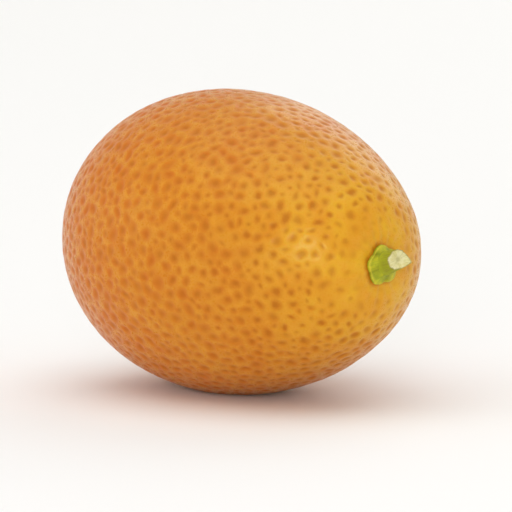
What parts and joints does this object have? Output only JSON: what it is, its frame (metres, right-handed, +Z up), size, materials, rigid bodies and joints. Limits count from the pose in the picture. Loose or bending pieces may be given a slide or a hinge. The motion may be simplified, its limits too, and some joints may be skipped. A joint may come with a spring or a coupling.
{
  "type": "kumquat",
  "caption": "Oval orange kumquat as picked, lying on its side, with dotted rind, a green lobed calyx and a short cut stem stub.",
  "frame": {"origin": "middle of the whole part's underside, in the plane of the flat spot that the fruit rests on", "axes": "+X along the fruit's long axis towards the stem end, +Y across, +Z up"},
  "size_m": [0.0448, 0.0302, 0.0296],
  "materials": {
    "rind": "satin",
    "calyx_green": "matte",
    "cut_stem": "matte"
  },
  "bodies": {
    "root": {"fruit": "rind", "calyx": "calyx_green", "stem_stub": "cut_stem"}
  },
  "joints": []
}
